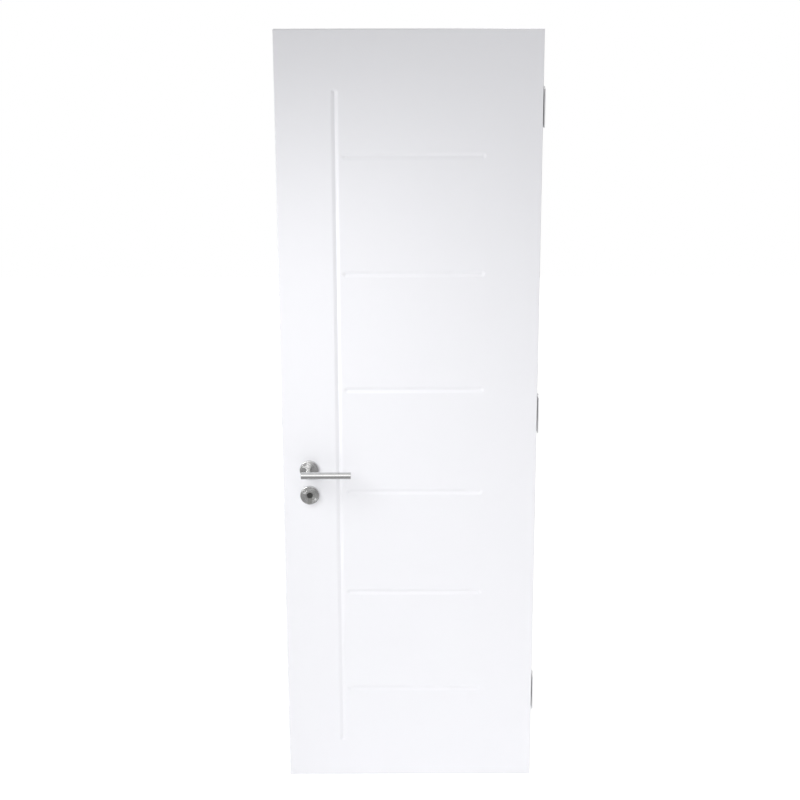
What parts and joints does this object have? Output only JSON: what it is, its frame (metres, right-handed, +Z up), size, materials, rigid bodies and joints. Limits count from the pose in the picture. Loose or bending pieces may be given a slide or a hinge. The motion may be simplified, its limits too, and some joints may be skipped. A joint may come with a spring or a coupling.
{
  "type": "interior door leaf",
  "caption": "White flush interior door leaf with routed grooves, a straight bar lever on a round rose, a key escutcheon and butt hinges.",
  "frame": {"origin": "middle of the bottom hinge's seat, on the face that lies against the door frame", "axes": "+Z up, -Y the way the push face looks, +X out of the hinge seat into the door frame"},
  "size_m": [0.6975, 0.169, 2.1],
  "materials": {
    "white_lacquer": "satin white lacquer",
    "inner_wood": "bare softwood and board",
    "satin_steel": "satin",
    "hinge_steel": "white enamel",
    "zinc_steel": "zinc plated",
    "nickel": "nickel plated",
    "dark_nickel": "dark nickel"
  },
  "bodies": {
    "frame_side": {"bottom_hinge_frame_plate": "hinge_steel", "middle_hinge_frame_plate": "hinge_steel", "top_hinge_frame_plate": "hinge_steel", "bottom_hinge_pin": "hinge_steel", "middle_hinge_pin": "hinge_steel", "top_hinge_pin": "hinge_steel"},
    "leaf": {"front_face_panel": "white_lacquer", "back_face_panel": "white_lacquer", "lock_stile": "white_lacquer", "hinge_stile": "white_lacquer", "top_rail": "white_lacquer", "bottom_rail": "white_lacquer", "lock_rail": "inner_wood", "upper_core": "inner_wood", "lower_core": "inner_wood", "lock_case": "zinc_steel", "lock_forend": "satin_steel", "latch_bolt": "nickel", "dead_bolt": "nickel", "key_cylinder": "dark_nickel", "front_rose": "satin_steel", "back_rose": "satin_steel", "front_escutcheon": "satin_steel", "back_escutcheon": "satin_steel", "bottom_hinge_door_plate": "hinge_steel", "middle_hinge_door_plate": "hinge_steel", "top_hinge_door_plate": "hinge_steel"},
    "lever": {"front_lever": "satin_steel", "back_lever": "satin_steel", "spindle": "zinc_steel"}
  },
  "joints": [
    {"name": "leaf_swing", "type": "hinge", "parent": "frame_side", "child": "leaf", "pos_m": [-0.0045, 0.0225, 0], "axis": [0, 0, -1], "range_deg": [0, 170]},
    {"name": "lever_turn", "type": "hinge", "parent": "leaf", "child": "lever", "pos_m": [-0.624, 0, 0.677], "axis": [0, 1, 0], "range_deg": [0, 45], "stiffness_Nm_per_rad": 1.5, "springref_deg": -34.38}
  ]
}
